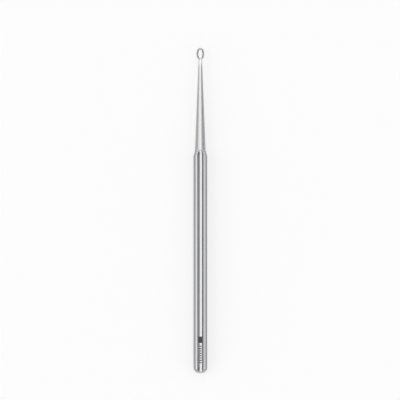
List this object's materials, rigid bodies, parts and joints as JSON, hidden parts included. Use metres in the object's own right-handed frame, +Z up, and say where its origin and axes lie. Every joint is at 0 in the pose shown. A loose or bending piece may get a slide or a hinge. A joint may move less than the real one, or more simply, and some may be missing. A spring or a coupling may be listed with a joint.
{
  "type": "ear curette",
  "caption": "Straight one-piece ear curette: octagonal handle, long round tapered shank and a small open oval loop with a bevelled inner edge.",
  "frame": {"origin": "on the surface that the instrument lies on, under the middle of its overall length and on its long axis", "axes": "+Y along the instrument from the butt of the handle to the loop, +X across it, +Z up out of the upper flat of the handle; the loop lies level and its bevelled face looks up"},
  "size_m": [0.0068, 0.165, 0.0069],
  "materials": {
    "steel": "satin"
  },
  "bodies": {
    "root": {"ear_curette": "steel"}
  },
  "joints": []
}
